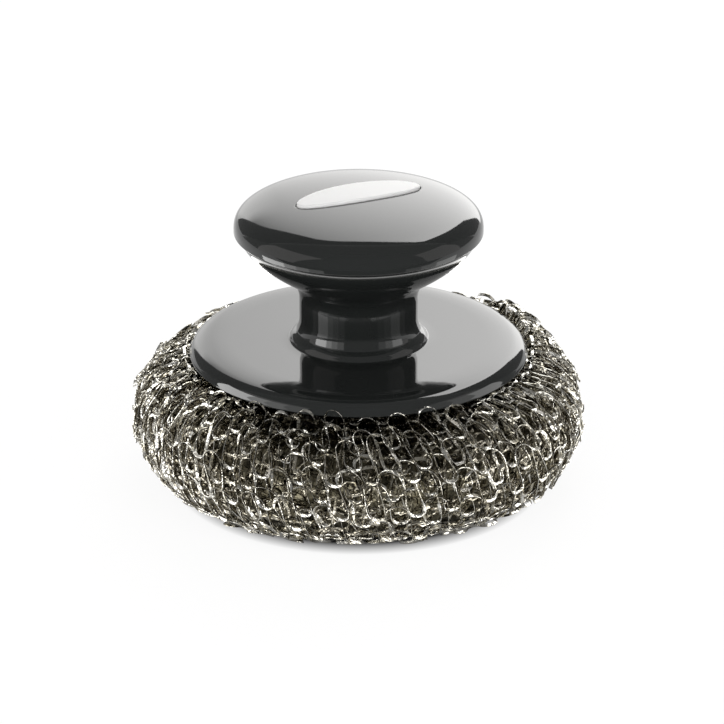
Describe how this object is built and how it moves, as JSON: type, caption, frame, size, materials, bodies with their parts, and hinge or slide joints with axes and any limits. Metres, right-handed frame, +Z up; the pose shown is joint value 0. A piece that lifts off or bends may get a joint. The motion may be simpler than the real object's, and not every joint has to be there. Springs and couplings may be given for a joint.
{
  "type": "griddle brush",
  "caption": "Griddle scrubbing brush: glossy black palm knob with a plain white oval inlay, waisted neck and round flange, clamped on a doughnut pad of knitted flat steel ribbon.",
  "frame": {"origin": "bottom centre: on the axis, at the level of the pad's sole", "axes": "+Z up the knob's axis, +X to the right and -Y to the front in the picture"},
  "size_m": [0.101, 0.101, 0.0688],
  "materials": {
    "gloss_black_cap": "polished moulded black",
    "gloss_black_body": "polished moulded black",
    "white_inlay": "smooth plain white",
    "knitted_steel_outer": "knitted flat stainless ribbon",
    "knitted_steel_middle": "knitted flat stainless ribbon",
    "knitted_steel_core": "tightly rolled knitted ribbon",
    "tie_wire_steel": "drawn stainless wire",
    "moulded_black_plate": "matt moulded black",
    "zinc_steel": "zinc plated",
    "brass": "turned brass"
  },
  "bodies": {
    "root": {"knob_cap": "gloss_black_cap", "inlay_plate": "white_inlay", "handle_body": "gloss_black_body", "pad_outer_layer": "knitted_steel_outer", "pad_middle_layer": "knitted_steel_middle", "pad_core_roll": "knitted_steel_core", "gather_wire": "tie_wire_steel", "clamp_plate": "moulded_black_plate", "pad_bolt": "zinc_steel", "spring_washer": "zinc_steel", "flat_washer": "zinc_steel", "threaded_insert": "brass", "cap_screw_1": "zinc_steel", "cap_screw_2": "zinc_steel", "cap_screw_3": "zinc_steel"}
  },
  "joints": []
}
